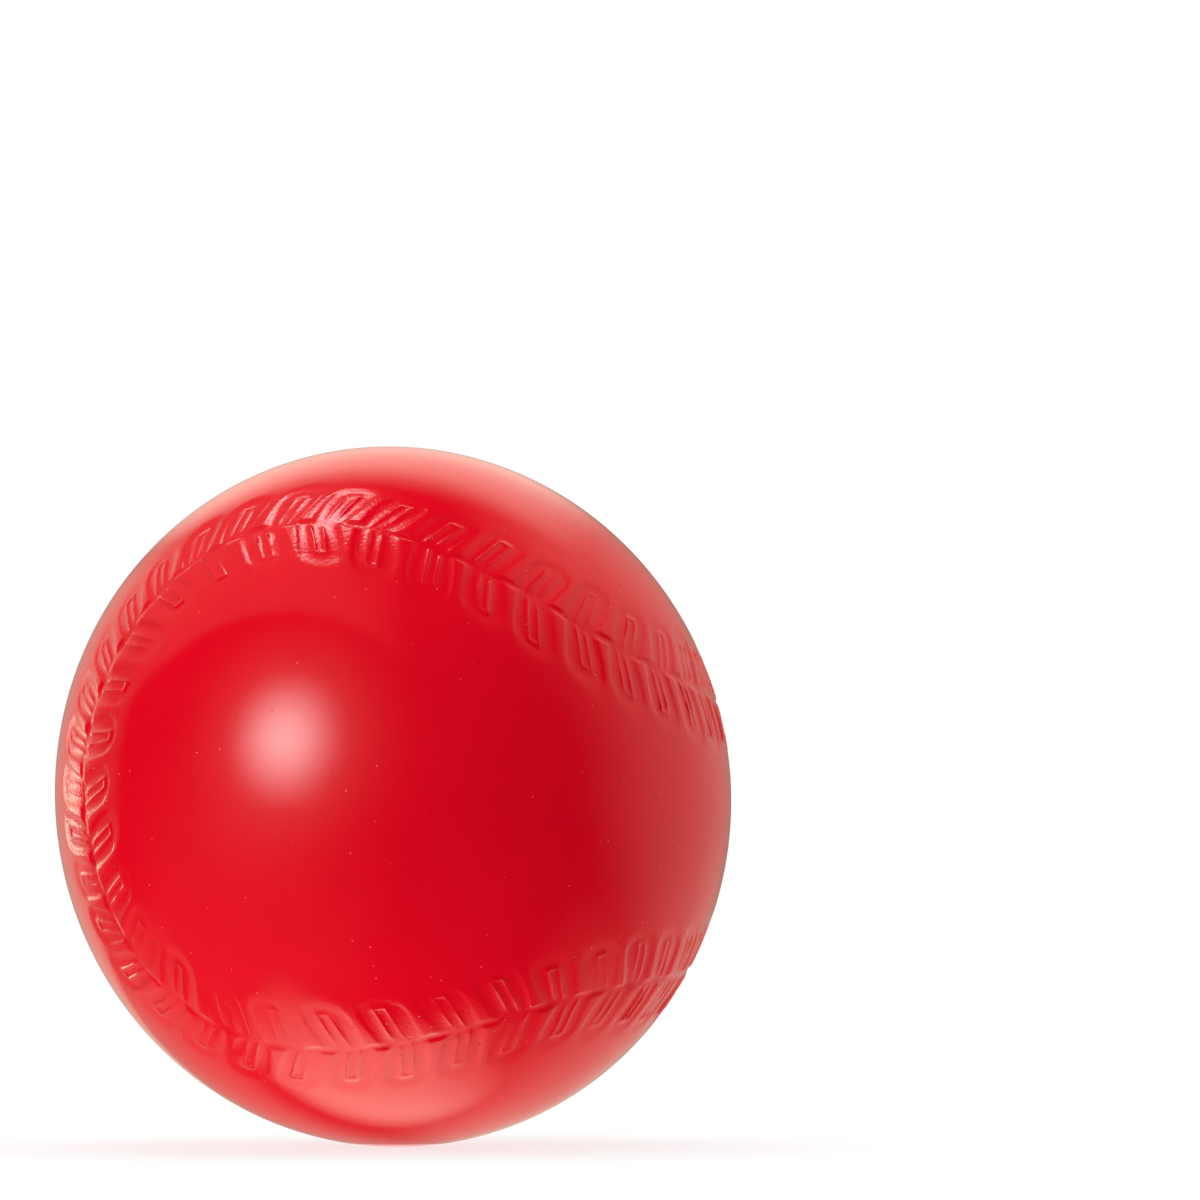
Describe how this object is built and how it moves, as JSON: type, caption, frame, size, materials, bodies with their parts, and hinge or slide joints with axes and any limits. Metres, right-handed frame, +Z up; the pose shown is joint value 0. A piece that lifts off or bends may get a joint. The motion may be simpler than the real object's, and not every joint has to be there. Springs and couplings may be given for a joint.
{
  "type": "vinyl play ball",
  "caption": "Hollow inflatable vinyl play ball, slightly taller than wide, with moulded imitation baseball stitching and a pull-out needle valve plug in a recessed sleeve.",
  "frame": {"origin": "centre of the ball", "axes": "+Y out of the ball along the valve, +Z up, which is nearly the ball's long axis, and -Y is the plain front opposite the valve"},
  "size_m": [0.1499, 0.15, 0.1554],
  "materials": {
    "skin": "satin moulded vinyl",
    "sleeve": "matt",
    "plug": "matt"
  },
  "bodies": {
    "ball": {"ball_shell": "skin", "valve_sleeve": "sleeve"},
    "plug": {"valve_plug": "plug"}
  },
  "joints": [
    {"name": "plug_pull", "type": "slide", "parent": "ball", "child": "plug", "axis": [0, 1, 0], "range_m": [0, 0.0125]}
  ]
}
